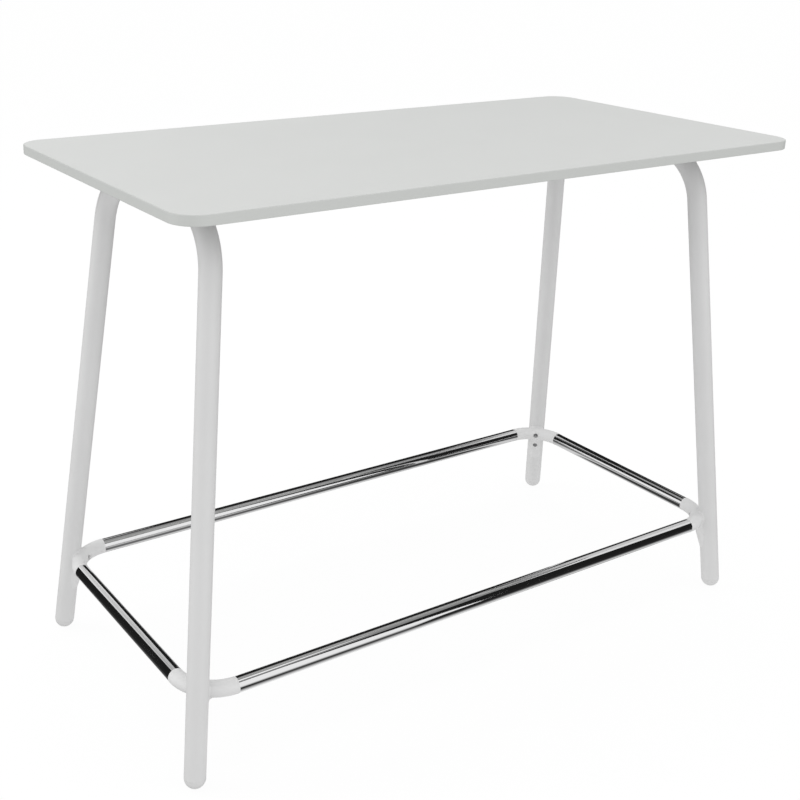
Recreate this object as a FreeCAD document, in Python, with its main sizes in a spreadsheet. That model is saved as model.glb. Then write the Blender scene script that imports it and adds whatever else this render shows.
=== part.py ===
import FreeCAD, Part
import math
import os
import Sketcher
from FreeCAD import Placement, Rotation, Vector

# A standing-height meeting table: a laminated board on two bent-tube leg frames, with a ring of foot rails
# near the floor. The frame's origin is on the floor under the middle of the top, +X along the long side.

doc = FreeCAD.newDocument("standing_meeting_table")

# Driving dimensions, in millimetres unless a note says otherwise.
dimensions = [
    # the top
    ("top_length", 1400, "long side of the top"),
    ("top_width", 700, "short side of the top"),
    ("top_height", 1050, "floor to the top face"),
    ("board_thickness", 18, "whole board with its laminates"),
    ("corner_radius", 50, "plan radius of the top's corners"),
    ("laminate_thickness", 0.8, "laminate above, backing below"),
    ("band_thickness", 2, "edge band round the rim"),
    ("band_round", 1.5, "rounding of the band's long edges"),
    # the leg frames
    ("tube_diameter", 40, "leg tube"),
    ("tube_wall", 2, "leg tube"),
    ("bend_radius", 112, "centre line of the bend under the top"),
    ("leg_slope", 0.104, "outward run of a leg for each mm down, both ways"),
    ("foot_half_length", 674.5, "centre of a foot from the middle, along X"),
    ("foot_half_width", 307, "centre of a foot from the middle, along Y"),
    # the foot glides
    ("glide_stem_length", 28, "stem inside the leg tube"),
    ("glide_core_diameter", 26, "stem between its ribs"),
    ("glide_rib_width", 2.4, "ribs that grip the tube"),
    ("glide_rib_count", 8, "ribs round the stem"),
    # the foot rails
    ("rail_diameter", 30, "foot rail tube"),
    ("rail_wall", 1.5, "foot rail tube"),
    ("rail_height", 173.5, "floor to the rail's centre line"),
    ("rail_outset", 5, "rail line outside the leg's centre, both ways"),
    # the moulded connectors
    ("elbow_radius", 80, "centre line of the bend"),
    ("elbow_diameter", 31, "round section of the bend"),
    ("spigot_length", 35, "plug inside the rail's end"),
    ("spigot_bore", 17, "core hole in the plug"),
    ("spigot_lead", 1.5, "chamfer on the plug's nose"),
    ("gusset_reach", 44, "gusset face from the rails' crossing, at rail height"),
    ("gusset_foot_reach", 11.5, "the same, at the gusset's lower end"),
    ("gusset_drop", 90, "gusset's lower end below the rails"),
    ("gusset_blend", 9, "fillet between the bend and the gusset"),
    ("saddle_blend", 4, "fillet where the connector meets the leg"),
    # connector screws and rivet nuts
    ("screw_diameter", 6, "all the machine screws"),
    ("screw_clearance", 6.6, "hole for a machine screw"),
    ("screw_head_diameter", 10.5, "button head"),
    ("screw_head_height", 3.3, "button head"),
    ("socket_width", 4, "hexagon socket across flats"),
    ("socket_depth", 2, "hexagon socket"),
    ("recess_diameter", 12.5, "round recess for a screw head"),
    ("seat_depth", 12, "leg's surface to the head's seat, upper screw"),
    ("lower_seat_depth", 4.5, "the same, lower screw"),
    ("lower_screw_drop", 36, "between the two screws, along the leg"),
    ("nut_body_diameter", 9, "rivet nut, also its hole in the leg"),
    ("nut_flange_diameter", 12, "rivet nut"),
    ("nut_flange_thickness", 1, "rivet nut"),
    ("nut_bulb_diameter", 12, "part squeezed behind the tube wall"),
    ("nut_bulb_length", 3, "part squeezed behind the tube wall"),
    ("nut_length", 14, "rivet nut, behind the flange"),
    ("nut_room", 0.4, "play round the flange in the connector"),
    # lugs, stretchers, spacers and board fixings
    ("lug_thickness", 4, "steel lug and spacer"),
    ("lug_width", 36, "lug, along Y"),
    ("lug_start", 8, "lug's root from the tube's centre"),
    ("outer_lug_end", 46, "lug's tip from the tube's centre, end side"),
    ("inner_lug_end", 62, "lug's tip from the tube's centre, middle side"),
    ("outer_screw_reach", 30, "screw from the tube's centre, end side"),
    ("inner_screw_reach", 42, "screw from the tube's centre, middle side"),
    ("stretcher_offset", 70, "stretcher from the middle, along Y"),
    ("stretcher_width", 40, "stretcher section, along Y"),
    ("stretcher_depth", 20, "stretcher section, along Z"),
    ("stretcher_wall", 1.5, "stretcher section"),
    ("stretcher_gap", 3, "stretcher's end to the leg tube"),
    ("spacer_position", 200, "mid-span screws from the middle, along X"),
    ("spacer_length", 44, "spacer, along X"),
    ("insert_diameter", 9, "threaded insert in the board"),
    ("insert_length", 13, "threaded insert in the board"),
    ("screw_bite", 11, "screw inside its insert or nut"),
]

sheet = doc.addObject("Spreadsheet::Sheet", "dims")
for row, (alias, size, note) in enumerate(dimensions, start=1):
    sheet.set(f"A{row}", alias)
    sheet.set(f"B{row}", str(size))
    sheet.set(f"C{row}", note)
    sheet.setAlias(f"B{row}", alias)
doc.recompute()


def value(expression):
    """Value of an expression on the sheet."""
    return float(sheet.evalExpression(expression))


# ---- sizes that several pieces share, as expressions on the sheet ----
board_bottom = "(dims.top_height - dims.board_thickness)"
run_height = f"({board_bottom} - dims.tube_diameter / 2)"
tube_radius = "(dims.tube_diameter / 2)"
run_half_length = f"(dims.foot_half_length - ({run_height} - {tube_radius}) * dims.leg_slope)"
rail_half_length = (
    f"(dims.foot_half_length - (dims.rail_height - {tube_radius}) * dims.leg_slope + dims.rail_outset)"
)
rail_half_width = (
    f"(dims.foot_half_width - (dims.rail_height - {tube_radius}) * dims.leg_slope + dims.rail_outset)"
)

# The four corners of the table: name, side along X, side along Y, turn of the rear right corner's pieces.
corners = [
    ("rear_right", 1, 1, 0),
    ("rear_left", -1, 1, 90),
    ("front_left", -1, -1, 180),
    ("front_right", 1, -1, 270),
]
subparts = []


# ---- small helpers for sketches and features ----
def new_body(label):
    body = doc.addObject("PartDesign::Body", label)
    body.Label = label
    return body


def new_subpart(label):
    body = new_body(label)
    subparts.append(body)
    return body


def origin_plane(body, role):
    return next(feature for feature in body.Origin.OriginFeatures if feature.Role == role)


def new_sketch(body, name, role, offset="0"):
    """Sketch on one of the body's own origin planes, moved along the plane's normal."""
    sketch = body.newObject("Sketcher::SketchObject", f"{body.Name}_{name}")
    sketch.AttachmentSupport = [(origin_plane(body, role), "")]
    sketch.MapMode = "FlatFace"
    sketch.setExpression("AttachmentOffset.Base.z", offset)
    return sketch


def constrain(sketch, kind, *refs_and_expression):
    """Add a sized constraint whose size is an expression on the sheet."""
    *refs, expression = refs_and_expression
    index = sketch.addConstraint(Sketcher.Constraint(kind, *refs, value(expression)))
    sketch.setExpression(f"Constraints[{index}]", expression)


def add_circle(sketch, diameter, x="0", y="0"):
    centre = Vector(value(x), value(y), 0)
    circle = sketch.addGeometry(Part.Circle(centre, Vector(0, 0, 1), value(diameter) / 2), False)
    constrain(sketch, "DistanceX", -1, 1, circle, 3, x)
    constrain(sketch, "DistanceY", -1, 1, circle, 3, y)
    constrain(sketch, "Diameter", circle, diameter)


def add_rounded_rectangle(sketch, length, width, radius):
    """Rectangle about the sketch's origin with four equal corner arcs."""
    half_x, half_y, r = value(length) / 2, value(width) / 2, value(radius)
    signs = [(1, 1), (-1, 1), (-1, -1), (1, -1)]
    arcs = []
    for quarter, (sx, sy) in enumerate(signs):
        centre = Vector(sx * (half_x - r), sy * (half_y - r), 0)
        round_corner = Part.Circle(centre, Vector(0, 0, 1), r)
        start = quarter * math.pi / 2
        arc = Part.ArcOfCircle(round_corner, start, start + math.pi / 2)
        arcs.append(sketch.addGeometry(arc, False))
    # Middle of each side and the way from there to its end, anticlockwise from the far side.
    straights = [
        (Vector(0, half_y, 0), Vector(r - half_x, 0, 0)),
        (Vector(-half_x, 0, 0), Vector(0, r - half_y, 0)),
        (Vector(0, -half_y, 0), Vector(half_x - r, 0, 0)),
        (Vector(half_x, 0, 0), Vector(0, half_y - r, 0)),
    ]
    for index, (middle, onward) in enumerate(straights):
        line = sketch.addGeometry(Part.LineSegment(middle - onward, middle + onward), False)
        following = arcs[(index + 1) % 4]
        sketch.addConstraint(Sketcher.Constraint("Tangent", arcs[index], 2, line, 1))
        sketch.addConstraint(Sketcher.Constraint("Tangent", line, 2, following, 1))
        sketch.addConstraint(Sketcher.Constraint("Vertical" if index % 2 else "Horizontal", line))
    for arc in arcs[1:]:
        sketch.addConstraint(Sketcher.Constraint("Equal", arcs[0], arc))
    constrain(sketch, "Radius", arcs[0], radius)
    constrain(sketch, "DistanceX", -1, 1, arcs[0], 3, f"({length}) / 2 - ({radius})")
    constrain(sketch, "DistanceY", -1, 1, arcs[0], 3, f"({width}) / 2 - ({radius})")
    constrain(sketch, "DistanceX", arcs[2], 3, -1, 1, f"({length}) / 2 - ({radius})")
    constrain(sketch, "DistanceY", arcs[2], 3, -1, 1, f"({width}) / 2 - ({radius})")


def add_outline(sketch, points):
    """Closed outline of straight sides; each corner is a pair of expressions."""
    corners_xy = [Vector(value(x), value(y), 0) for x, y in points]
    count = len(points)
    lines = []
    for index in range(count):
        side = Part.LineSegment(corners_xy[index], corners_xy[(index + 1) % count])
        lines.append(sketch.addGeometry(side, False))
    for index in range(count):
        following = lines[(index + 1) % count]
        sketch.addConstraint(Sketcher.Constraint("Coincident", lines[index], 2, following, 1))
    for line, (x, y) in zip(lines, points):
        constrain(sketch, "DistanceX", -1, 1, line, 1, x)
        constrain(sketch, "DistanceY", -1, 1, line, 1, y)


def pad(body, name, profile, length, midplane=False, reverse=False):
    feature = body.newObject("PartDesign::Pad", f"{body.Name}_{name}")
    feature.Profile = profile
    feature.setExpression("Length", length)
    feature.Midplane = midplane
    feature.Reversed = reverse
    return feature


def pocket_through(body, name, profile):
    """Pocket that cuts both ways through the whole piece."""
    feature = body.newObject("PartDesign::Pocket", f"{body.Name}_{name}")
    feature.Profile = profile
    feature.Type = "ThroughAll"
    feature.Midplane = True
    return feature


def revolve(body, name, profile, axis="V_Axis", angle=360, reverse=False):
    feature = body.newObject("PartDesign::Revolution", f"{body.Name}_{name}")
    feature.Profile = profile
    feature.ReferenceAxis = (profile, [axis])
    feature.Angle = angle
    feature.Reversed = reverse
    return feature


def cut_cylinder(body, name, diameter, length, place):
    """Round hole; `place` puts the cylinder's start and turns +Z along the hole."""
    feature = body.newObject("PartDesign::SubtractiveCylinder", f"{body.Name}_{name}")
    feature.setExpression("Radius", f"({diameter}) / 2")
    feature.setExpression("Height", length)
    feature.Placement = place
    return feature


def facing(start, direction):
    """Placement at `start` with +Z turned to `direction`."""
    return Placement(start, Rotation(Vector(0, 0, 1), direction))


def edges_where(feature, test):
    """Names of the edges of a feature's shape that pass a test."""
    edges = enumerate(feature.Shape.Edges, start=1)
    return [f"Edge{number}" for number, edge in edges if test(edge)]


def group(label, masters_and_places):
    """One sub-part that holds a copy of a master body's shape at each place."""
    doc.recompute()
    copies = [master.Shape.transformed(place.toMatrix()) for master, place in masters_and_places]
    feature = doc.addObject("Part::Feature", label)
    feature.Label = label
    feature.Shape = Part.makeCompound(copies)
    feature.Placement = Placement()
    subparts.append(feature)


# ---- where the legs run ----
slope = value("dims.leg_slope")
leg_axis = Vector(-slope, -slope, 1).normalize()


def leg_point(height):
    """Point on the rear right leg's centre line."""
    drop = (height - value(tube_radius)) * slope
    return Vector(value("dims.foot_half_length") - drop, value("dims.foot_half_width") - drop, height)


# Both connector screws are square to the leg and point at its centre line from the table's middle.
screw_out = Vector(-1, -1, 0)
screw_out = (screw_out - leg_axis * screw_out.dot(leg_axis)).normalize()
rail_crossing = Vector(value(rail_half_length), value(rail_half_width), value("dims.rail_height"))
elbow_inner_reach = value("dims.elbow_radius * (sqrt(2) - 1) + dims.elbow_diameter / 2")
upper_mouth = rail_crossing + Vector(-1, -1, 0).normalize() * elbow_inner_reach
along_leg = (upper_mouth - leg_point(0)).dot(leg_axis)
upper_screw_foot = leg_point(0) + leg_axis * along_leg
lower_screw_foot = upper_screw_foot - leg_axis * value("dims.lower_screw_drop")
# Name, point on the leg's centre line, and depth of the head's seat above the leg's surface.
screws = [
    ("upper", upper_screw_foot, "dims.seat_depth"),
    ("lower", lower_screw_foot, "dims.lower_seat_depth"),
]


def on_leg_surface(axis_point, depth=0.0):
    """Point on a screw's line, measured out from the leg's surface."""
    return axis_point + screw_out * (value(tube_radius) + depth)


# Where screws go up into the board, as expressions: X of the three rows in each quarter of the table.
outer_lug_screw_x = f"({run_half_length} + dims.outer_screw_reach)"
inner_lug_screw_x = f"({run_half_length} - dims.inner_screw_reach)"
screw_rows = [outer_lug_screw_x, inner_lug_screw_x, "dims.spacer_position"]
sides = [(1, 1), (-1, 1), (-1, -1), (1, -1)]


# ---- the top ----
inner_length = "(dims.top_length - 2 * dims.band_thickness)"
inner_width = "(dims.top_width - 2 * dims.band_thickness)"
inner_radius = "(dims.corner_radius - dims.band_thickness)"


def make_top_panel(label, bottom, thickness, insert_hole_depth=None):
    """One layer of the board inside the edge band, with blind or through holes for the inserts."""
    body = new_subpart(label)
    outline = new_sketch(body, "outline", "XY_Plane", bottom)
    add_rounded_rectangle(outline, inner_length, inner_width, inner_radius)
    pad(body, "panel", outline, thickness)
    if insert_hole_depth is None:
        return
    holes = new_sketch(body, "holes", "XY_Plane", bottom)
    for row_x in screw_rows:
        for side_x, side_y in sides:
            hole_x, hole_y = f"{side_x} * {row_x}", f"{side_y} * dims.stretcher_offset"
            add_circle(holes, "dims.insert_diameter", hole_x, hole_y)
    bores = body.newObject("PartDesign::Pocket", f"{body.Name}_bores")
    bores.Profile = holes
    bores.setExpression("Length", insert_hole_depth)
    bores.Reversed = True


def make_edge_band():
    """Ring of edging round the board, with its long outer edges rounded."""
    band = new_subpart("tabletop_edge_band")
    ring = new_sketch(band, "ring", "XY_Plane", board_bottom)
    add_rounded_rectangle(ring, "dims.top_length", "dims.top_width", "dims.corner_radius")
    add_rounded_rectangle(ring, inner_length, inner_width, inner_radius)
    strip = pad(band, "strip", ring, "dims.board_thickness")
    doc.recompute()
    half_length, half_width = value("dims.top_length") / 2, value("dims.top_width") / 2
    corner, strip_width = value("dims.corner_radius"), value("dims.band_thickness")

    def on_outer_rim(edge):
        if edge.BoundBox.ZLength > 0.01:
            return False
        middle = edge.valueAt((edge.FirstParameter + edge.LastParameter) / 2)
        reach_x = abs(middle.x) - (half_length - corner)
        reach_y = abs(middle.y) - (half_width - corner)
        reach = math.hypot(max(reach_x, 0), max(reach_y, 0))
        return reach > corner - strip_width / 2

    rounding = band.newObject("PartDesign::Fillet", f"{band.Name}_rounding")
    rounding.Base = (strip, edges_where(strip, on_outer_rim))
    rounding.setExpression("Radius", "dims.band_round")


# ---- the leg frames ----
def make_leg_frame(label, turn):
    """Tube bent to an inverted U. Half of it is swept from the middle of the top run and then mirrored."""
    body = new_subpart(label)
    run_level = f"({run_height} - {tube_radius}) * sqrt(1 + dims.leg_slope ^ 2)"
    # In the frame's own leaning plane a leg runs out by this much for each mm down.
    side_slope = "(dims.leg_slope / sqrt(1 + dims.leg_slope ^ 2))"
    bend_y = f"(dims.foot_half_width - ({run_level}) * {side_slope})"

    level, foot_y, slant = value(run_level), value("dims.foot_half_width"), value(side_slope)
    radius = value("dims.bend_radius")
    turn_angle = math.pi / 2 - math.atan(slant)
    tangent = radius * math.tan(turn_angle / 2)
    path = new_sketch(body, "path", "YZ_Plane")
    start = Vector(0, level, 0)
    bend_start = Vector(value(bend_y) - tangent, level, 0)
    centre = bend_start - Vector(0, radius, 0)
    bend_end = centre + Vector(math.sin(turn_angle), math.cos(turn_angle), 0) * radius
    run = path.addGeometry(Part.LineSegment(start, bend_start), False)
    circle = Part.Circle(centre, Vector(0, 0, 1), radius)
    bend = path.addGeometry(Part.ArcOfCircle(circle, math.pi / 2 - turn_angle, math.pi / 2), False)
    leg = path.addGeometry(Part.LineSegment(bend_end, Vector(foot_y, 0, 0)), False)
    path.addConstraint(Sketcher.Constraint("Tangent", run, 2, bend, 2))
    path.addConstraint(Sketcher.Constraint("Tangent", bend, 1, leg, 1))
    path.addConstraint(Sketcher.Constraint("Horizontal", run))
    path.addConstraint(Sketcher.Constraint("PointOnObject", run, 1, -2))
    path.addConstraint(Sketcher.Constraint("PointOnObject", leg, 2, -1))
    constrain(path, "DistanceY", -1, 1, run, 1, run_level)
    constrain(path, "DistanceX", -1, 1, leg, 2, "dims.foot_half_width")
    constrain(path, "Radius", bend, "dims.bend_radius")
    # The leg's own line meets the run's line at the virtual corner.
    corner = path.addGeometry(Part.Point(Vector(value(bend_y), level, 0)), True)
    path.addConstraint(Sketcher.Constraint("PointOnObject", corner, 1, run))
    path.addConstraint(Sketcher.Constraint("PointOnObject", corner, 1, leg))
    constrain(path, "DistanceX", -1, 1, corner, 1, bend_y)

    section = new_sketch(body, "section", "XZ_Plane")
    add_circle(section, "dims.tube_diameter", "0", run_level)
    add_circle(section, "dims.tube_diameter - 2 * dims.tube_wall", "0", run_level)
    sweep = body.newObject("PartDesign::AdditivePipe", f"{body.Name}_sweep")
    sweep.Profile = section
    sweep.Spine = (path, ["Edge1", "Edge2", "Edge3"])
    doc.recompute()
    other_half = body.newObject("PartDesign::Mirrored", f"{body.Name}_other_half")
    other_half.Originals = [sweep]
    other_half.MirrorPlane = (origin_plane(body, "XZ_Plane"), [""])
    body.Tip = other_half

    # World placement of the right-hand frame; the left-hand one is the same piece turned half round.
    lean_angle = -math.degrees(math.atan(slope))
    foot_line = Vector(value("dims.foot_half_length"), 0, value(tube_radius))
    upright = Placement(foot_line, Rotation(Vector(0, 1, 0), lean_angle))
    for name, axis_point in (("upper", upper_screw_foot), ("lower", lower_screw_foot)):
        for side, mirror in (("rear", 1), ("front", -1)):
            hole = facing(
                Vector(axis_point.x, mirror * axis_point.y, axis_point.z),
                Vector(screw_out.x, mirror * screw_out.y, screw_out.z),
            )
            in_frame = upright.inverse().multiply(hole)
            hole_name = f"{side}_{name}_nut_hole"
            cut_cylinder(body, hole_name, "dims.nut_body_diameter", "dims.tube_diameter", in_frame)
    body.Placement = Placement(Vector(), Rotation(Vector(0, 0, 1), turn)).multiply(upright)


# ---- the foot glides ----
def make_foot_glide(name, side_x, side_y):
    """Domed plug: half a ball below the tube's end and a ribbed stem inside it."""
    body = new_subpart(f"foot_glide_{name}")
    bore = "(dims.tube_diameter - 2 * dims.tube_wall)"
    dome = new_sketch(body, "dome", "XZ_Plane")
    radius = value(tube_radius)
    ball = Part.Circle(Vector(0, 0, 0), Vector(0, 0, 1), radius)
    arc = dome.addGeometry(Part.ArcOfCircle(ball, -math.pi / 2, 0), False)
    upright = dome.addGeometry(Part.LineSegment(Vector(0, 0, 0), Vector(0, -radius, 0)), False)
    rim = dome.addGeometry(Part.LineSegment(Vector(radius, 0, 0), Vector(0, 0, 0)), False)
    dome.addConstraint(Sketcher.Constraint("Coincident", upright, 2, arc, 1))
    dome.addConstraint(Sketcher.Constraint("Coincident", arc, 2, rim, 1))
    dome.addConstraint(Sketcher.Constraint("Coincident", rim, 2, upright, 1))
    dome.addConstraint(Sketcher.Constraint("Coincident", arc, 3, -1, 1))
    dome.addConstraint(Sketcher.Constraint("Coincident", upright, 1, -1, 1))
    dome.addConstraint(Sketcher.Constraint("Vertical", upright))
    dome.addConstraint(Sketcher.Constraint("Horizontal", rim))
    constrain(dome, "Radius", arc, tube_radius)
    revolve(body, "dome_turned", dome)
    stem = new_sketch(body, "stem", "XY_Plane")
    add_circle(stem, "dims.glide_core_diameter")
    pad(body, "stem_core", stem, "dims.glide_stem_length")
    rib = new_sketch(body, "rib", "XY_Plane")
    inner = "dims.glide_core_diameter / 2 - 1"
    outer = f"sqrt(({bore} / 2) ^ 2 - (dims.glide_rib_width / 2) ^ 2)"
    half = "dims.glide_rib_width / 2"
    add_outline(rib, [(inner, f"-({half})"), (outer, f"-({half})"), (outer, half), (inner, half)])
    one_rib = pad(body, "rib_grip", rib, "dims.glide_stem_length - dims.spigot_lead")
    doc.recompute()
    ribs = body.newObject("PartDesign::PolarPattern", f"{body.Name}_ribs")
    ribs.Originals = [one_rib]
    ribs.Axis = (origin_plane(body, "Z_Axis"), [""])
    ribs.Angle = 360
    ribs.Occurrences = int(value("dims.glide_rib_count"))
    body.Tip = ribs
    foot = Vector(side_x * value("dims.foot_half_length"), side_y * value("dims.foot_half_width"), radius)
    direction = Vector(side_x * leg_axis.x, side_y * leg_axis.y, leg_axis.z)
    body.Placement = facing(foot, direction)


# ---- the foot rails ----
def make_foot_rail(name, plane, half_span, place):
    """Straight tube between two connectors, pushed over their spigots."""
    body = new_subpart(f"footrail_{name}")
    section = new_sketch(body, "section", plane)
    add_circle(section, "dims.rail_diameter")
    add_circle(section, "dims.rail_diameter - 2 * dims.rail_wall")
    pad(body, "tube", section, f"2 * ({half_span} - dims.elbow_radius)", midplane=True)
    body.Placement = Placement(place, Rotation())


# ---- the moulded connectors ----
def diagonal(reach):
    """The same X and Y, towards the table's middle, for a reach measured along the corner's diagonal."""
    across = f"-({reach}) / sqrt(2)"
    return across, across


def make_connector(name, side_x, side_y, turn):
    """Moulded bend that joins two rails, blended on to the leg by a saddle and a gusset with two screws.

    Its own origin is where the two rails' centre lines cross; the rails leave towards -X and -Y.
    """
    body = new_subpart(f"footrail_connector_{name}")

    # The bend: a quarter turn of a round section about an upright line.
    section = new_sketch(body, "section", "YZ_Plane", "-dims.elbow_radius")
    add_circle(section, "dims.elbow_diameter")
    turn_x, reach_z = -value("dims.elbow_radius"), value("dims.elbow_diameter")
    upright = Part.LineSegment(Vector(turn_x, -reach_z, 0), Vector(turn_x, reach_z, 0))
    turning_line = section.addGeometry(upright, True)
    section.addConstraint(Sketcher.Constraint("Vertical", turning_line))
    constrain(section, "DistanceX", -1, 1, turning_line, 1, "-dims.elbow_radius")
    bend = revolve(body, "bend", section, axis="Axis0", angle=90, reverse=True)

    # A stub of the leg's own size, there while the blends are made and cut away after them.
    stub_length = "3 * dims.gusset_drop"
    leg_start = Vector(-1, -1, 0) * value("dims.rail_outset") - leg_axis * value("2 * dims.gusset_drop")
    stub = body.newObject("PartDesign::AdditiveCylinder", f"{body.Name}_leg_stub")
    stub.setExpression("Radius", tube_radius)
    stub.setExpression("Height", stub_length)
    stub.Placement = facing(leg_start, leg_axis)

    # The gusset: a round prism under the bend that leans back until it vanishes into the leg.
    top = new_sketch(body, "gusset_top", "XY_Plane")
    add_circle(top, "dims.elbow_diameter", *diagonal("dims.gusset_reach - dims.elbow_diameter / 2"))
    foot = new_sketch(body, "gusset_foot", "XY_Plane", "-dims.gusset_drop")
    add_circle(foot, "dims.elbow_diameter", *diagonal("dims.gusset_foot_reach - dims.elbow_diameter / 2"))
    gusset = body.newObject("PartDesign::AdditiveLoft", f"{body.Name}_gusset")
    gusset.Profile = top
    gusset.Sections = [foot]
    gusset.Ruled = True
    doc.recompute()

    def from_leg(edge):
        """Distance of an edge's middle from the leg's centre line."""
        middle = edge.valueAt((edge.FirstParameter + edge.LastParameter) / 2)
        return (middle - leg_start).cross(leg_axis).Length

    def is_seam(edge):
        return edge.Curve.TypeId == "Part::GeomBSplineCurve"

    def meets_leg(edge):
        return is_seam(edge) and abs(from_leg(edge) - value(tube_radius)) < 0.05

    blend = body.newObject("PartDesign::Fillet", f"{body.Name}_gusset_blend")
    blend.Base = (gusset, edges_where(gusset, lambda edge: is_seam(edge) and not meets_leg(edge)))
    blend.setExpression("Radius", "dims.gusset_blend")
    doc.recompute()
    saddle = body.newObject("PartDesign::Fillet", f"{body.Name}_saddle_blend")
    saddle.Base = (blend, edges_where(blend, meets_leg))
    saddle.setExpression("Radius", "dims.saddle_blend")
    doc.recompute()
    past_stub = facing(leg_start - leg_axis, leg_axis)
    cut_cylinder(body, "leg_seat", "dims.tube_diameter", f"{stub_length} + 2", past_stub)

    # A cored plug at each end for the rail.
    rail_bore = "(dims.rail_diameter - 2 * dims.rail_wall)"
    tip_reach = value("dims.elbow_radius + dims.spigot_length")
    bore_rim = math.pi * value("dims.spigot_bore")
    bend_ends = [("x", "YZ_Plane", "-dims.elbow_radius"), ("y", "XZ_Plane", "dims.elbow_radius")]
    for rail, role, offset in bend_ends:
        ring = new_sketch(body, f"spigot_{rail}_ring", role, offset)
        add_circle(ring, rail_bore)
        add_circle(ring, "dims.spigot_bore")
        spigot = pad(body, f"spigot_{rail}", ring, "dims.spigot_length", reverse=rail == "x")
        doc.recompute()

        def is_nose(edge):
            middle = edge.CenterOfMass
            along = -middle.x if rail == "x" else -middle.y
            return abs(along - tip_reach) < 0.01 and edge.Length > bore_rim + 1

        nose = body.newObject("PartDesign::Chamfer", f"{body.Name}_spigot_{rail}_lead")
        nose.Base = (spigot, edges_where(spigot, is_nose))
        nose.setExpression("Size", "dims.spigot_lead")

    # Screw holes, square to the leg: clearance, a recess for the head and room for the nut's flange.
    well_past = "dims.elbow_radius"
    room_diameter = "dims.nut_flange_diameter + dims.nut_room"
    room_depth = "1 + dims.nut_flange_thickness + dims.nut_room / 2"
    for screw, axis_point, seat in screws:
        under_leg = facing(on_leg_surface(axis_point, -1) - rail_crossing, screw_out)
        at_seat = facing(on_leg_surface(axis_point, value(seat)) - rail_crossing, screw_out)
        cut_cylinder(body, f"{screw}_hole", "dims.screw_clearance", well_past, under_leg)
        cut_cylinder(body, f"{screw}_recess", "dims.recess_diameter", well_past, at_seat)
        cut_cylinder(body, f"{screw}_nut_room", room_diameter, room_depth, under_leg)
    corner = Vector(side_x * rail_crossing.x, side_y * rail_crossing.y, rail_crossing.z)
    body.Placement = Placement(corner, Rotation(Vector(0, 0, 1), turn))


def corner_place(side_x, side_y, turn, place):
    """Moves a placement from the rear right corner to another one."""
    corner = Vector(side_x * rail_crossing.x, side_y * rail_crossing.y, rail_crossing.z)
    moved = Placement(corner, Rotation(Vector(0, 0, 1), turn))
    return moved.multiply(Placement(-rail_crossing, Rotation())).multiply(place)


# ---- small hardware: each is a turned master that a group repeats ----
def make_screw(name, shank):
    """Button head screw: the head's seat is at the origin and the shank runs towards -Z."""
    body = new_body(f"{name}_master")
    profile = new_sketch(body, "profile", "XZ_Plane")
    rim_height = "dims.screw_head_height / 3"
    head_radius, height = value("dims.screw_head_diameter / 2"), value("dims.screw_head_height")
    shank_radius, length = value("dims.screw_diameter / 2"), value(shank)
    crown = value(f"dims.screw_head_height - {rim_height}")
    points = [
        Vector(0, -length, 0),
        Vector(shank_radius, -length, 0),
        Vector(shank_radius, 0, 0),
        Vector(head_radius, 0, 0),
        Vector(head_radius, height - crown, 0),
        Vector(0, height, 0),
    ]
    sides_of_profile = []
    for first, second in zip(points[:4], points[1:5]):
        sides_of_profile.append(profile.addGeometry(Part.LineSegment(first, second), False))
    # The crown is an arc from the head's rim to its top, level at the top.
    crown_radius = (head_radius ** 2 + crown ** 2) / (2 * crown)
    circle = Part.Circle(Vector(0, height - crown_radius, 0), Vector(0, 0, 1), crown_radius)
    rim_angle = math.acos(head_radius / crown_radius)
    arc = profile.addGeometry(Part.ArcOfCircle(circle, rim_angle, math.pi / 2), False)
    middle = profile.addGeometry(Part.LineSegment(points[5], points[0]), False)
    for first, second in zip(sides_of_profile, sides_of_profile[1:]):
        profile.addConstraint(Sketcher.Constraint("Coincident", first, 2, second, 1))
    profile.addConstraint(Sketcher.Constraint("Coincident", sides_of_profile[3], 2, arc, 1))
    profile.addConstraint(Sketcher.Constraint("Coincident", arc, 2, middle, 1))
    profile.addConstraint(Sketcher.Constraint("Coincident", middle, 2, sides_of_profile[0], 1))
    profile.addConstraint(Sketcher.Constraint("PointOnObject", arc, 3, -2))
    profile.addConstraint(Sketcher.Constraint("PointOnObject", middle, 1, -2))
    profile.addConstraint(Sketcher.Constraint("PointOnObject", middle, 2, -2))
    profile.addConstraint(Sketcher.Constraint("PointOnObject", sides_of_profile[2], 1, -1))
    for side in (sides_of_profile[0], sides_of_profile[2]):
        profile.addConstraint(Sketcher.Constraint("Horizontal", side))
    for side in (sides_of_profile[1], sides_of_profile[3]):
        profile.addConstraint(Sketcher.Constraint("Vertical", side))
    constrain(profile, "DistanceY", sides_of_profile[0], 1, -1, 1, shank)
    constrain(profile, "DistanceX", -1, 1, sides_of_profile[1], 1, "dims.screw_diameter / 2")
    constrain(profile, "DistanceX", -1, 1, sides_of_profile[3], 1, "dims.screw_head_diameter / 2")
    constrain(profile, "DistanceY", -1, 1, sides_of_profile[3], 2, rim_height)
    constrain(profile, "DistanceY", -1, 1, arc, 2, "dims.screw_head_height")
    revolve(body, "turned", profile)

    socket = new_sketch(body, "socket", "XY_Plane", "dims.screw_head_height - dims.socket_depth")
    across = "(dims.socket_width / sqrt(3))"
    hexagon = []
    for angle in range(0, 360, 60):
        hexagon.append((f"{across} * cos({angle})", f"{across} * sin({angle})"))
    add_outline(socket, hexagon)
    key = body.newObject("PartDesign::Pocket", f"{body.Name}_key")
    key.Profile = socket
    key.setExpression("Length", "2 * dims.socket_depth")
    key.Reversed = True
    return body


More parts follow.
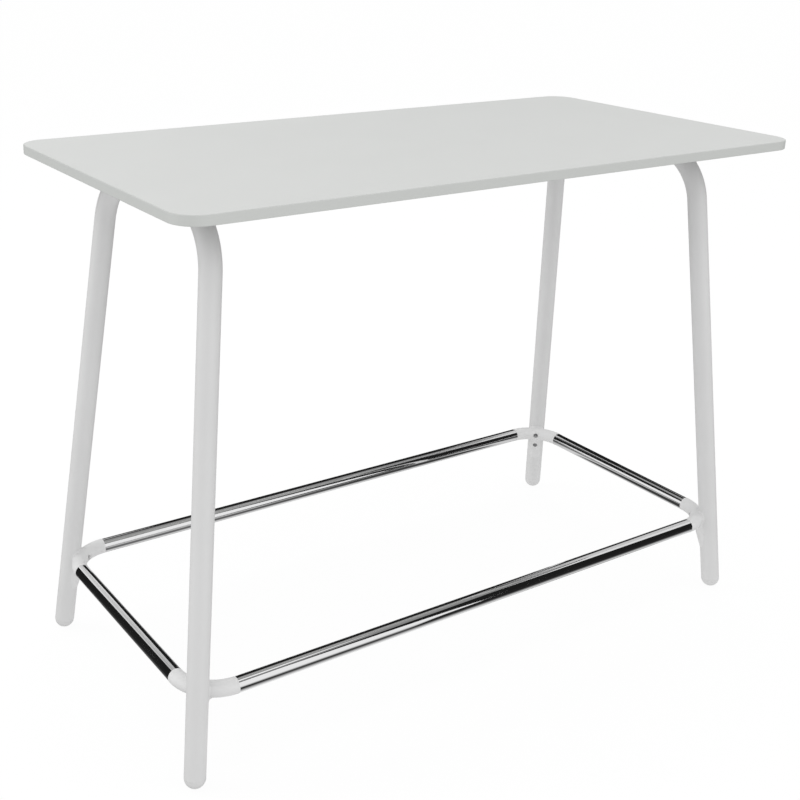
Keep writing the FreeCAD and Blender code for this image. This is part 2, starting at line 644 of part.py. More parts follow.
def make_sleeve(name, steps):
    """Turned sleeve with the screw's bore; steps are (diameter, from, to) along its own Z."""
    body = new_body(f"{name}_master")
    for number, (diameter, low, high) in enumerate(steps):
        ring = new_sketch(body, f"ring_{number}", "XY_Plane", low)
        add_circle(ring, diameter)
        add_circle(ring, "dims.screw_diameter")
        pad(body, f"step_{number}", ring, f"({high}) - ({low})")
    return body


def make_lug(name, tip, screw_reach):
    """Flat lug welded to the top run. Its own origin is on the tube's line and +X leads away from it."""
    body = new_body(f"{name}_master")
    plate = new_sketch(body, "plate", "XY_Plane", "dims.tube_diameter / 2 - dims.lug_thickness")
    half = "dims.lug_width / 2"
    root = "dims.lug_start"
    add_outline(plate, [(root, f"-({half})"), (tip, f"-({half})"), (tip, half), (root, half)])
    blank = pad(body, "blank", plate, "dims.lug_thickness")
    doc.recompute()
    tip_x = value(tip)

    def at_tip_corner(edge):
        return edge.BoundBox.ZLength > 1 and abs(edge.CenterOfMass.x - tip_x) < 0.01

    rounded = body.newObject("PartDesign::Fillet", f"{body.Name}_rounded")
    rounded.Base = (blank, edges_where(blank, at_tip_corner))
    rounded.setExpression("Radius", "2 * dims.lug_thickness")
    doc.recompute()
    across_lug = facing(Vector(0, value("dims.lug_width"), 0), Vector(0, -1, 0))
    cut_cylinder(body, "tube_seat", "dims.tube_diameter", "2 * dims.lug_width", across_lug)
    up_through = facing(Vector(value(screw_reach), 0, 0), Vector(0, 0, 1))
    cut_cylinder(body, "hole", "dims.screw_clearance", "dims.tube_diameter", up_through)
    return body


def make_stretcher(name, side_y):
    """Box-section rail under the board, screwed up through the lugs and the spacers."""
    body = new_subpart(f"stretcher_{name}")
    section = new_sketch(body, "section", "YZ_Plane")
    width, depth, wall = "dims.stretcher_width", "dims.stretcher_depth", "dims.stretcher_wall"
    add_rounded_rectangle(section, width, depth, f"2 * {wall}")
    add_rounded_rectangle(section, f"{width} - 2 * {wall}", f"{depth} - 2 * {wall}", wall)
    length = f"2 * ({run_half_length} - {tube_radius} - dims.stretcher_gap)"
    pad(body, "tube", section, length, midplane=True)
    holes = new_sketch(body, "holes", "XY_Plane")
    for row_x in (inner_lug_screw_x, "dims.spacer_position"):
        for side_x in (1, -1):
            add_circle(holes, "dims.screw_clearance", f"{side_x} * {row_x}")
    pocket_through(body, "screw_holes", holes)
    height = value(f"{board_bottom} - dims.lug_thickness - dims.stretcher_depth / 2")
    body.Placement = Placement(Vector(0, side_y * value("dims.stretcher_offset"), height), Rotation())


def make_spacer():
    """Flat spacer as wide as the stretcher and as thick as a lug."""
    body = new_body("stretcher_spacer_master")
    plate = new_sketch(body, "plate", "XY_Plane")
    add_rounded_rectangle(plate, "dims.spacer_length", "dims.stretcher_width", "dims.lug_thickness")
    add_circle(plate, "dims.screw_clearance")
    pad(body, "plate_pad", plate, "dims.lug_thickness")
    return body


# ---- build every piece ----
make_top_panel(
    "tabletop_core",
    f"{board_bottom} + dims.laminate_thickness",
    "dims.board_thickness - 2 * dims.laminate_thickness",
    "dims.insert_length - dims.laminate_thickness",
)
make_top_panel("tabletop_laminate", "dims.top_height - dims.laminate_thickness", "dims.laminate_thickness")
make_top_panel("tabletop_backing", board_bottom, "dims.laminate_thickness", "dims.laminate_thickness")
make_edge_band()

make_leg_frame("leg_frame_right", 0)
make_leg_frame("leg_frame_left", 180)
for name, side_x, side_y, turn in corners:
    make_foot_glide(name, side_x, side_y)
    make_connector(name, side_x, side_y, turn)

rail_level = value("dims.rail_height")
for name, side_y in (("front", -1), ("rear", 1)):
    make_foot_rail(name, "YZ_Plane", rail_half_length, Vector(0, side_y * rail_crossing.y, rail_level))
    make_stretcher(name, side_y)
for name, side_x in (("left", -1), ("right", 1)):
    make_foot_rail(name, "XZ_Plane", rail_half_width, Vector(side_x * rail_crossing.x, 0, rail_level))

for name, axis_point, seat in screws:
    screw = make_screw(f"connector_{name}_screw", f"{seat} + dims.screw_bite")
    seated = facing(on_leg_surface(axis_point, value(seat)), screw_out)
    group(f"connector_{name}_screws", [(screw, corner_place(*corner[1:], seated)) for corner in corners])

rivet_nut = make_sleeve("rivet_nut", [
    ("dims.nut_flange_diameter", "0", "dims.nut_flange_thickness"),
    ("dims.nut_body_diameter", "-dims.nut_length", "0"),
    ("dims.nut_bulb_diameter", "-2 * dims.nut_bulb_length - 0.2", "-dims.nut_bulb_length - 0.2"),
])
nut_places = []
for corner in corners:
    for name, axis_point, seat in screws:
        on_leg = facing(on_leg_surface(axis_point), screw_out)
        nut_places.append((rivet_nut, corner_place(*corner[1:], on_leg)))
group("leg_rivet_nuts", nut_places)

outer_lug = make_lug("outer_lug", "dims.outer_lug_end", "dims.outer_screw_reach")
inner_lug = make_lug("inner_lug", "dims.inner_lug_end", "dims.inner_screw_reach")
run_x, run_z = value(run_half_length), value(run_height)
lug_y = value("dims.stretcher_offset")
for name, side_x in (("left", -1), ("right", 1)):
    lugs = []
    for side_y in (1, -1):
        on_run = Vector(side_x * run_x, side_y * lug_y, run_z)
        lugs.append((outer_lug, Placement(on_run, Rotation(Vector(0, 0, 1), 90 - 90 * side_x))))
        lugs.append((inner_lug, Placement(on_run, Rotation(Vector(0, 0, 1), 90 + 90 * side_x))))
    group(f"mounting_lugs_{name}", lugs)

insert = make_sleeve("insert", [("dims.insert_diameter", "0", "dims.insert_length")])
lug_screw = make_screw("lug_screw", "dims.lug_thickness + dims.screw_bite")
stretcher_screw = make_screw(
    "stretcher_screw", "dims.stretcher_depth + dims.lug_thickness + dims.screw_bite"
)
spacer = make_spacer()
upwards = Rotation(Vector(1, 0, 0), 180)
underside = value(board_bottom)
lug_seat = underside - value("dims.lug_thickness")
stretcher_seat = lug_seat - value("dims.stretcher_depth")
inserts, lug_screws, stretcher_screws, spacers = [], [], [], []
for side_x, side_y in sides:
    for row_x in screw_rows:
        x, y = side_x * value(row_x), side_y * lug_y
        inserts.append((insert, Placement(Vector(x, y, underside), Rotation())))
        if row_x == outer_lug_screw_x:
            lug_screws.append((lug_screw, Placement(Vector(x, y, lug_seat), upwards)))
        else:
            stretcher_screws.append((stretcher_screw, Placement(Vector(x, y, stretcher_seat), upwards)))
    spacer_x = side_x * value("dims.spacer_position")
    spacers.append((spacer, Placement(Vector(spacer_x, side_y * lug_y, lug_seat), Rotation())))
group("board_inserts", inserts)
group("lug_screws", lug_screws)
group("stretcher_screws", stretcher_screws)
group("stretcher_spacers", spacers)

# ---- check and write ----
doc.recompute()
for feature in doc.Objects:
    if "Invalid" in feature.State or "Error" in feature.State:
        raise RuntimeError(f"{feature.Name} did not build: {feature.State}")
for part in subparts:
    if part.Shape.isNull() or not part.Shape.isValid():
        raise RuntimeError(f"{part.Label} has no valid shape")

os.makedirs("parts", exist_ok=True)
for part in subparts:
    part.Shape.exportStep(f"parts/{part.Label}.step")
    print(f"{part.Label}: {len(part.Shape.Solids)} solid(s), {part.Shape.Volume:.0f} mm3")
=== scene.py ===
import bpy
import math
from mathutils import Euler, Matrix, Vector


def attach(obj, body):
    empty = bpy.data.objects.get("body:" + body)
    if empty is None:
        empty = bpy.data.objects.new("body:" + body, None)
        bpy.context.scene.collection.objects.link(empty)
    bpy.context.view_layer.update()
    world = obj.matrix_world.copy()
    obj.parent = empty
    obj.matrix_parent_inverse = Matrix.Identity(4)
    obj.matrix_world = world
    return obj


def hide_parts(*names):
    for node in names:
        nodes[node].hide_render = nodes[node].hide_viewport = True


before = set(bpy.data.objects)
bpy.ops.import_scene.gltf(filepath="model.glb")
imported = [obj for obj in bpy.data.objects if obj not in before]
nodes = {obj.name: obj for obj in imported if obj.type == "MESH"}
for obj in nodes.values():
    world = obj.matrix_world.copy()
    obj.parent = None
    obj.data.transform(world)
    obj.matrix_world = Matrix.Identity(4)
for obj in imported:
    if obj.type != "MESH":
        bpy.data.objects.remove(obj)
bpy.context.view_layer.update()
print("frame loaded:", len(nodes), "nodes")

camera = {
    "place": (-1.4897, -1.9421, 1.4840),
    "heading": 33.146,      # degrees from +Y towards +X
    "tilt": 19.447,         # degrees down
    "roll": 1.06,
    "lens": 55.65,
    "sensor": 36,
    "shiftX": 0.0975,
    "shiftY": -0.0715,
    "nearest": 0.05,        # what is nearer or farther isn't drawn
    "farthest": 100,
}


def addCamera(values):
    data = bpy.data.cameras.new("camera")
    data.sensor_width = values["sensor"]
    data.lens = values["lens"]
    data.shift_x = values["shiftX"]
    data.shift_y = values["shiftY"]
    data.clip_start = values["nearest"]
    data.clip_end = values["farthest"]
    cam = bpy.data.objects.new("camera", data)
    aim = Euler((math.radians(90 - values["tilt"]), 0, -math.radians(values["heading"]))).to_matrix()
    lean = Matrix.Rotation(math.radians(values["roll"]), 3, "Z")
    cam.matrix_world = Matrix.Translation(values["place"]) @ (aim @ lean).to_4x4()
    bpy.context.scene.collection.objects.link(cam)
    bpy.context.scene.camera = cam


addCamera(camera)
print("camera set")


# short ways to build node trees, for materials and Geometry Nodes alike
def addNode(tree, kind, **settings):
    # a setting is the node's own, or else the value of the socket with that name
    node = tree.nodes.new(kind)
    for key, setting in settings.items():
        if hasattr(node, key):
            setattr(node, key, setting)
        else:
            node.inputs[key.replace("_", " ")].default_value = setting
    return node


def join(tree, *pairs):
    # each socket takes another node's output or a plain value
    for entry, socket in pairs:
        if isinstance(entry, bpy.types.NodeSocket):
            tree.links.new(entry, socket)
        else:
            socket.default_value = entry


def mathNode(tree, operation, *entries):
    node = addNode(tree, "ShaderNodeMath", operation=operation)
    join(tree, *zip(entries, node.inputs))
    return node.outputs[0]


def plus(tree, first, *others):
    for other in others:
        first = mathNode(tree, "ADD", first, other)
    return first


def times(tree, first, *others):
    for other in others:
        first = mathNode(tree, "MULTIPLY", first, other)
    return first


def minus(tree, first, second):
    return mathNode(tree, "SUBTRACT", first, second)


def vectorNode(tree, operation, *entries):
    node = addNode(tree, "ShaderNodeVectorMath", operation=operation)
    join(tree, *zip(entries, node.inputs))
    return node.outputs["Value" if operation in ("LENGTH", "DOT_PRODUCT") else "Vector"]


def partsOf(tree, vector):
    # a vector's X, Y and Z
    apart = addNode(tree, "ShaderNodeSeparateXYZ")
    join(tree, (vector, apart.inputs[0]))
    return list(apart.outputs)


def spread(tree, fac, low, high, start=0.3, end=0.7):
    # a value's range start..end, by default a texture's middle, stretched to low..high
    ranged = addNode(tree, "ShaderNodeMapRange", From_Min=start, From_Max=end, To_Min=low, To_Max=high)
    join(tree, (fac, ranged.inputs["Value"]))
    return ranged.outputs["Result"]


# short ways that only materials need
def newMaterial(name):
    mat = bpy.data.materials.new(name)
    mat.use_nodes = True
    return mat, mat.node_tree, mat.node_tree.nodes["Principled BSDF"]


def objectPlace(tree, stretch=(1, 1, 1)):
    coords = addNode(tree, "ShaderNodeTexCoord")
    mapping = addNode(tree, "ShaderNodeMapping", Scale=stretch)
    join(tree, (coords.outputs["Object"], mapping.inputs["Vector"]))
    return mapping.outputs["Vector"]


def noiseAt(tree, place, scale, detail):
    noise = addNode(tree, "ShaderNodeTexNoise", Scale=scale, Detail=detail, Roughness=0.5)
    join(tree, (place, noise.inputs["Vector"]))
    return noise.outputs["Fac"]


def mixColours(tree, fac, first, second):
    mix = addNode(tree, "ShaderNodeMix", data_type="RGBA")
    join(tree, (fac, mix.inputs[0]), (first, mix.inputs[6]), (second, mix.inputs[7]))
    return mix.outputs[2]


def shade(colour, factor):
    return (*(min(1.0, part * factor) for part in colour), 1)


def twoShades(tree, fac, colour, factors):
    # the colour drifts between a darker and a lighter shade
    darker, lighter = (shade(colour, factor) for factor in factors)
    return mixColours(tree, spread(tree, fac, 0, 1), darker, lighter)


def bumpFrom(tree, height, strength, distance, under=None):
    bump = addNode(tree, "ShaderNodeBump", Strength=strength, Distance=distance)
    join(tree, (height, bump.inputs["Height"]))
    if under:
        join(tree, (under, bump.inputs["Normal"]))
    return bump.outputs["Normal"]


# In the looks below, a noise is its waves per metre and its detail, shades are factors of the colour,
# roughness is least and most, and a bump is its strength and its depth in metres.
laminateLook = {
    "colour": (0.685, 0.695, 0.683),
    "clouds": (5.0, 3),
    "cloudShades": (0.997, 1.003),
    "flecks": (2600, 1),
    "fleckShade": 0.93,
    "fleckPart": (0, 0.35, 0.55, 0.8),    # least and most of that shade, and the noise there
    "sheen": (14, 4),
    "roughness": (0.505, 0.535),
    "grain": (1560, 2),
    "grainBump": (0.25, 0.00004),
    "specular": 0.4,
}


def makeLaminate(name, values):
    mat, tree, shader = newMaterial(name)
    place = objectPlace(tree)
    clouds = noiseAt(tree, place, *values["clouds"])
    clouded = twoShades(tree, clouds, values["colour"], values["cloudShades"])
    flecks = spread(tree, noiseAt(tree, place, *values["flecks"]), *values["fleckPart"])
    flecked = mixColours(tree, flecks, clouded, shade(values["colour"], values["fleckShade"]))
    sheen = spread(tree, noiseAt(tree, place, *values["sheen"]), *values["roughness"])
    grain = bumpFrom(tree, noiseAt(tree, place, *values["grain"]), *values["grainBump"])
    join(tree, (flecked, shader.inputs["Base Color"]), (sheen, shader.inputs["Roughness"]),
         (grain, shader.inputs["Normal"]), (values["specular"], shader.inputs["Specular IOR Level"]))
    return mat


paintLook = {
    "colour": (0.705, 0.705, 0.705),
    "drift": (7, 3),
    "driftShades": (0.985, 1.012),
    "sheen": (30, 3),
    "roughness": (0.45, 0.55),
    "peel": (620, 1.5),
    "peelBump": (0.3, 0.00006),
    "speck": (2480, 1),
    "speckBump": (0.12, 0.00002),
}


def makePowderCoat(name, values):
    mat, tree, shader = newMaterial(name)
    place = objectPlace(tree)
    drift = noiseAt(tree, place, *values["drift"])
    colour = twoShades(tree, drift, values["colour"], values["driftShades"])
    sheen = spread(tree, noiseAt(tree, place, *values["sheen"]), *values["roughness"])
    specks = bumpFrom(tree, noiseAt(tree, place, *values["speck"]), *values["speckBump"])
    peel = bumpFrom(tree, noiseAt(tree, place, *values["peel"]), *values["peelBump"], specks)
    join(tree, (colour, shader.inputs["Base Color"]), (sheen, shader.inputs["Roughness"]),
         (peel, shader.inputs["Normal"]))
    return mat


mouldedLook = {
    "colour": (0.745, 0.745, 0.745),
    "flow": (24, 4),
    "flowShades": (0.98, 1.01),
    "roughness": (0.46, 0.56),
    "grain": (1500, 2),
    "grainBump": (0.3, 0.00004),
    "seam": 0.1735,                   # height of the hairline where the two halves of the mould met
    "seamEdge": (0.00005, 0.0003),    # where the hairline ends, above and below that height
    "seamBump": (0.5, 0.00008),
    "glow": 0.05,                     # light that scatters inside
    "glowDepth": 0.004,
    "glowScale": 0.5,
}


def makeMoulded(name, values):
    # satin nylon
    mat, tree, shader = newMaterial(name)
    place = objectPlace(tree)
    flow = noiseAt(tree, place, *values["flow"])
    away = mathNode(tree, "ABSOLUTE", minus(tree, partsOf(tree, place)[2], values["seam"]))
    seam = bumpFrom(tree, spread(tree, away, 1, 0, *values["seamEdge"]), *values["seamBump"])
    grain = bumpFrom(tree, noiseAt(tree, place, *values["grain"]), *values["grainBump"], seam)
    join(tree, (twoShades(tree, flow, values["colour"], values["flowShades"]), shader.inputs["Base Color"]),
         (spread(tree, flow, *values["roughness"]), shader.inputs["Roughness"]),
         (grain, shader.inputs["Normal"]),
         (values["glow"], shader.inputs["Subsurface Weight"]),
         ([values["glowDepth"]] * 3, shader.inputs["Subsurface Radius"]),
         (values["glowScale"], shader.inputs["Subsurface Scale"]))
    return mat


chromeLook = {
    "colour": (0.93, 0.93, 0.935),
    "haze": (18, 3),
    "hazeShades": (0.985, 1),
    "roughness": (0.025, 0.07),
    "polish": (300, 3),
    "polishBump": (0.02, 0.00002),
    "drawnOut": 0.02,                 # the polish marks' waves along the tube, as part of those across it
}


def makeChrome(name, values, stretch):
    mat, tree, shader = newMaterial(name)
    haze = noiseAt(tree, objectPlace(tree), *values["haze"])
    polish = noiseAt(tree, objectPlace(tree, stretch), *values["polish"])
    join(tree, (twoShades(tree, haze, values["colour"], values["hazeShades"]), shader.inputs["Base Color"]),
         (spread(tree, haze, *values["roughness"]), shader.inputs["Roughness"]),
         (bumpFrom(tree, polish, *values["polishBump"]), shader.inputs["Normal"]),
         (1, shader.inputs["Metallic"]))
    return mat


zincLook = {
    "colour": (0.46, 0.46, 0.47),
    "bloom": (260, 4),
    "bloomShades": (0.85, 1.1),
    "bloomBump": (0.2, 0.00003),
    "roughness": (0.28, 0.48),
    "metallic": 0.7,
}


def makeZinc(name, values):
    mat, tree, shader = newMaterial(name)
    bloom = noiseAt(tree, objectPlace(tree), *values["bloom"])
    join(tree, (twoShades(tree, bloom, values["colour"], values["bloomShades"]), shader.inputs["Base Color"]),
         (spread(tree, bloom, *values["roughness"]), shader.inputs["Roughness"]),
         (bumpFrom(tree, bloom, *values["bloomBump"]), shader.inputs["Normal"]),
         (values["metallic"], shader.inputs["Metallic"]))
    return mat


boardLook = {
    "glue": (0.50, 0.37, 0.23),
    "chip": (0.66, 0.52, 0.34),
    "chips": 420,
    "flattened": (1, 1, 3),
    "chipBump": (0.4, 0.0004),
    "roughness": 0.85,
}


def makeParticleBoard(name, values):
    mat, tree, shader = newMaterial(name)
    chips = addNode(tree, "ShaderNodeTexVoronoi", Scale=values["chips"])
    mixed = mixColours(tree, chips.outputs["Color"], (*values["glue"], 1), (*values["chip"], 1))
    join(tree, (objectPlace(tree, values["flattened"]), chips.inputs["Vector"]),
         (mixed, shader.inputs["Base Color"]),
         (bumpFrom(tree, chips.outputs["Distance"], *values["chipBump"]), shader.inputs["Normal"]),
         (values["roughness"], shader.inputs["Roughness"]))
    return mat


# painted shade: the edge band gets a darker colour than the top's laminate, for the shade on the board's
# sides
edgingPaintedShadeLook = {**laminateLook, "colour": (0.583, 0.597, 0.581), "roughness": (0.445, 0.475)}
# painted shade: the backing gets a dark grey, for the shade on the board's underside
backingPaintedShadeLook = {**laminateLook, "colour": (0.378, 0.382, 0.373), "roughness": (0.585, 0.615)}
glideLook = {**mouldedLook, "colour": (0.70, 0.70, 0.70), "seam": 0.0196}
spacerLook = {**mouldedLook, "colour": (0.03, 0.03, 0.032), "roughness": (0.41, 0.51), "seam": 1.03}

laminate = makeLaminate("pearlLaminate", laminateLook)
edging = makeLaminate("edging", edgingPaintedShadeLook)
backing = makeLaminate("backingPaintedShade", backingPaintedShadeLook)
powderCoat = makePowderCoat("powderCoat", paintLook)
mouldedNylon = makeMoulded("mouldedNylon", mouldedLook)
glideNylon = makeMoulded("glideNylon", glideLook)
blackNylon = makeMoulded("blackNylon", spacerLook)
chromeAlongX = makeChrome("chromeAlongX", chromeLook, (chromeLook["drawnOut"], 1, 1))
chromeAlongY = makeChrome("chromeAlongY", chromeLook, (1, chromeLook["drawnOut"], 1))
zinc = makeZinc("zinc", zincLook)
particleBoard = makeParticleBoard("particleBoard", boardLook)

# how a node's name starts, and its finish; all other nodes are zinc fasteners
finishes = {
    "tabletop_core": particleBoard,
    "tabletop_laminate": laminate,
    "tabletop_backing": backing,
    "tabletop_edge_band": edging,
    "leg_frame": powderCoat,
    "mounting_lugs": powderCoat,
    "stretcher_front": powderCoat,
    "stretcher_rear": powderCoat,
    "stretcher_spacers": blackNylon,
    "foot_glide": glideNylon,
    "footrail_connector": mouldedNylon,
    "footrail_front": chromeAlongX,
    "footrail_rear": chromeAlongX,
    "footrail_left": chromeAlongY,
    "footrail_right": chromeAlongY,
}

for name, node in nodes.items():
    finish = next((finishes[start] for start in finishes if name.startswith(start)), zinc)
    node.data.materials.clear()
    node.data.materials.append(finish)
print("finishes set")


# every Geometry Nodes tree has these ends: a holder's geometry and the sizes go in, and a finished
# shape comes out
def newTree(name, wanted):
    tree = bpy.data.node_groups.new(name, "GeometryNodeTree")
    tree.interface.new_socket("Geometry", in_out="OUTPUT", socket_type="NodeSocketGeometry")
    tree.interface.new_socket("Geometry", in_out="INPUT", socket_type="NodeSocketGeometry")
    for label, kind in wanted.items():
        tree.interface.new_socket(label, in_out="INPUT", socket_type="NodeSocket" + kind)
    return tree, addNode(tree, "NodeGroupInput").outputs, addNode(tree, "NodeGroupOutput").inputs


def finishTree(tree, geometry, given, result):
    real = addNode(tree, "GeometryNodeRealizeInstances")
    coat = addNode(tree, "GeometryNodeSetMaterial")
    join(tree, (geometry, real.inputs[0]), (real.outputs[0], coat.inputs["Geometry"]),
         (given["Finish"], coat.inputs["Material"]), (coat.outputs[0], result["Geometry"]))


def plainCopy(name, source):
    graph = bpy.context.evaluated_depsgraph_get()
    mesh = bpy.data.meshes.new_from_object(source.evaluated_get(graph))
    while mesh.materials and not mesh.materials[0]:
        mesh.materials.pop(index=0)           # an empty slot that the tree's own shapes leave
    copy = bpy.data.objects.new(name, mesh)
    bpy.context.scene.collection.objects.link(copy)
    return copy


rims = {
    "part": 1 / 6,        # of the wall that the rounding of a tube's rims takes
    "steps": 3,
    "from": 60,           # degrees between two faces from which their edge is rounded
}


def hollowed(name, solid, wall):
    # the same shape with a wall inwards and rounded rims
    inner = solid.modifiers.new("wall", "SOLIDIFY")
    inner.thickness = wall
    inner.offset = -1
    rounding = solid.modifiers.new("rims", "BEVEL")
    rounding.width = wall * rims["part"]
    rounding.segments = rims["steps"]
    rounding.limit_method = "ANGLE"
    rounding.angle_limit = math.radians(rims["from"])
    solid.modifiers.new("longFacesLead", "WEIGHTED_NORMAL")   # the rims don't bend the tube's shading
    hollow = plainCopy(name, solid)
    bpy.data.meshes.remove(solid.data)        # takes its object with it
    return hollow


def runTree(name, holder, tree, values, wall=0.0, sharpAt=35):
    # turns a holder object with the tree on it into a plain mesh piece, hollow where it has a wall
    modifier = holder.modifiers.new(tree.name, "NODES")
    modifier.node_group = tree
    for item in tree.interface.items_tree:
        if item.in_out == "INPUT" and item.name in values:
            modifier[item.identifier] = values[item.name]
    piece = plainCopy(name, holder)
    bpy.data.objects.remove(holder)
    piece.data.shade_smooth()
    piece.data.set_sharp_from_angle(angle=math.radians(sharpAt))
    if wall:
        piece = hollowed(name, piece, wall)
    piece.name = piece.data.name = name
    return piece


def pathObject(name, *paths):
    curve = bpy.data.curves.new(name + "Path", "CURVE")
    curve.dimensions = "3D"
    for points in paths:
        spline = curve.splines.new("POLY")
        spline.points.add(len(points) - 1)
        for index, point in enumerate(points):
            spline.points[index].co = (*point, 1)
    holder = bpy.data.objects.new(name + "Path", curve)
    bpy.context.scene.collection.objects.link(holder)
    return holder


def makeTubeTree():
    tree, given, result = newTree("tubeAlongPath", {
        "Tube Radius": "Float", "Bend Radius": "Float", "Bend Steps": "Int", "Round Steps": "Int",
        "Finish": "Material",
    })
    bend = addNode(tree, "GeometryNodeFilletCurve", mode="POLY")
    ring = addNode(tree, "GeometryNodeCurvePrimitiveCircle")
    sweep = addNode(tree, "GeometryNodeCurveToMesh")
    join(tree,
         (given["Geometry"], bend.inputs["Curve"]),
         (given["Bend Radius"], bend.inputs["Radius"]),
         (given["Bend Steps"], bend.inputs["Count"]),
         (given["Tube Radius"], ring.inputs["Radius"]),
         (given["Round Steps"], ring.inputs["Resolution"]),
         (bend.outputs["Curve"], sweep.inputs["Curve"]),
         (ring.outputs["Curve"], sweep.inputs["Profile Curve"]))
    finishTree(tree, sweep.outputs["Mesh"], given, result)
    return tree


tubeTree = makeTubeTree()

legTube = {
    "radius": 0.020,
    "wall": 0.002,
    "bendRadius": 0.112,
    "footX": 0.6745,
    "footY": 0.307,
    "slope": 0.104,       # outward run per metre down, both ways
    "runHeight": 1.012,
    "bendSteps": 24,
    "roundSteps": 72,
}


def makeLegFrame(name, side, values):
    low, high = values["radius"], values["runHeight"]
    lean = (high - low) * values["slope"]
    footX, footY = side * values["footX"], values["footY"]
    runX, runY = side * (values["footX"] - lean), values["footY"] - lean
    path = [(footX, -footY, low), (runX, -runY, high), (runX, runY, high), (footX, footY, low)]
    return runTree(name, pathObject(name, path), tubeTree, {
        "Tube Radius": values["radius"], "Bend Radius": values["bendRadius"],
        "Bend Steps": values["bendSteps"], "Round Steps": values["roundSteps"], "Finish": powderCoat,
    }, wall=values["wall"])


for name, side, node in (("legTubeLeft", -1, "leg_frame_left"), ("legTubeRight", 1, "leg_frame_right")):
    legs = makeLegFrame(name, side, legTube)
    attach(legs, "root")
    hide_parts(node)

railTube = {
    "radius": 0.015,
    "wall": 0.0015,
    "height": 0.1735,
    "lineX": 0.66354,     # the side rails' distance from the middle
    "lineY": 0.29604,     # the front and rear rails' distance
    "bend": 0.080,        # what each connector takes of a side
    "roundSteps": 96,
}


def makeFootRail(name, values, finish, alongX, side):
    if alongX:
        half = values["lineX"] - values["bend"]
        path = [(end, side * values["lineY"], values["height"]) for end in (-half, half)]
    else:
        half = values["lineY"] - values["bend"]
        path = [(side * values["lineX"], end, values["height"]) for end in (-half, half)]
    return runTree(name, pathObject(name, path), tubeTree, {
        "Tube Radius": values["radius"], "Bend Radius": 0.0, "Bend Steps": 1,
        "Round Steps": values["roundSteps"], "Finish": finish,
    }, wall=values["wall"])


for name, node, finish, alongX, side in (
    ("footRailFront", "footrail_front", chromeAlongX, True, -1),
    ("footRailRear", "footrail_rear", chromeAlongX, True, 1),
    ("footRailLeft", "footrail_left", chromeAlongY, False, -1),
    ("footRailRight", "footrail_right", chromeAlongY, False, 1),
):
    rail = makeFootRail(name, railTube, finish, alongX, side)
    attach(rail, "root")
    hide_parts(node)
print("tubes swept")

screw = {
    "headRadius": 0.00525,
    "rimHeight": 0.0011,
    "headHeight": 0.0033,
    "shankRadius": 0.003,
    "socketWidth": 0.004,
    "socketDepth": 0.002,
    "roundSteps": 48,
    "domeRings": 8,
    "coneSize": 0.85,     # the cone that opens the socket: its radius and height, in socket widths
    "coneSunk": 0.88,     # the part of its height that goes below the crown
}


def lifted(tree, geometry, height):
    # geometry moved up by a height
    way = addNode(tree, "ShaderNodeCombineXYZ")
    move = addNode(tree, "GeometryNodeTransform")
    join(tree, (height, way.inputs["Z"]), (geometry, move.inputs["Geometry"]),
         (way.outputs[0], move.inputs["Translation"]))
    return move.outputs["Geometry"]


def upright(tree, sides, radius, depth, rings=1):
    # cylinder round the origin
    cylinder = addNode(tree, "GeometryNodeMeshCylinder", Fill_Segments=rings)
    join(tree, (sides, cylinder.inputs["Vertices"]), (radius, cylinder.inputs["Radius"]),
         (depth, cylinder.inputs["Depth"]))
    return cylinder.outputs["Mesh"]


def combined(tree, operation, first, *others):
    boolean = addNode(tree, "GeometryNodeMeshBoolean", operation=operation, solver="EXACT")
    if operation == "DIFFERENCE":
        join(tree, (first, boolean.inputs["Mesh 1"]))
    else:
        others = (first,) + others
    for other in others:
        join(tree, (other, boolean.inputs["Mesh 2"]))
    return boolean.outputs["Mesh"]


def domedHead(tree, given, rings):
    # a low cylinder whose top is drawn up to a dome, and the height of its crown
    rim, headRadius, domeRadius = given["Rim Height"], given["Head Radius"], given["Dome Radius"]
    halfRim = times(tree, rim, 0.5)
    blank = lifted(tree, upright(tree, given["Round Steps"], headRadius, rim, rings), halfRim)
    x, y, z = partsOf(tree, addNode(tree, "GeometryNodeInputPosition").outputs[0])
    outSquared = plus(tree, times(tree, x, x), times(tree, y, y))
    domeSquared = times(tree, domeRadius, domeRadius)
    base = mathNode(tree, "SQRT", minus(tree, domeSquared, times(tree, headRadius, headRadius)))
    rise = minus(tree, mathNode(tree, "SQRT", minus(tree, domeSquared, outSquared)), base)
    lift = addNode(tree, "ShaderNodeCombineXYZ")
    dome = addNode(tree, "GeometryNodeSetPosition")
    join(tree, (times(tree, rise, mathNode(tree, "GREATER_THAN", z, halfRim)), lift.inputs["Z"]),
         (blank, dome.inputs["Geometry"]), (lift.outputs[0], dome.inputs["Offset"]))
    return dome.outputs[0], plus(tree, rim, minus(tree, domeRadius, base))


def shankUnder(tree, given):
    # its top is sunk in the head
    rim, length = given["Rim Height"], given["Shank Length"]
    shank = upright(tree, given["Round Steps"], given["Shank Radius"], plus(tree, length, rim))
    return lifted(tree, shank, times(tree, minus(tree, rim, length), 0.5))


def socketCuts(tree, given, crown, values):
    # the hexagon, and a cone for its turned lead-in and for the drill's point under it
    width = given["Socket Width"]
    hexagon = upright(tree, 6, mathNode(tree, "DIVIDE", width, math.sqrt(3)),
                      times(tree, given["Socket Depth"], 2))
    cone = addNode(tree, "GeometryNodeMeshCone", Radius_Bottom=0)
    size = times(tree, width, values["coneSize"])
    join(tree, (given["Round Steps"], cone.inputs["Vertices"]), (size, cone.inputs["Radius Top"]),
         (size, cone.inputs["Depth"]))
    sunk = minus(tree, crown, times(tree, size, values["coneSunk"]))
    return lifted(tree, hexagon, crown), lifted(tree, cone.outputs["Mesh"], sunk)


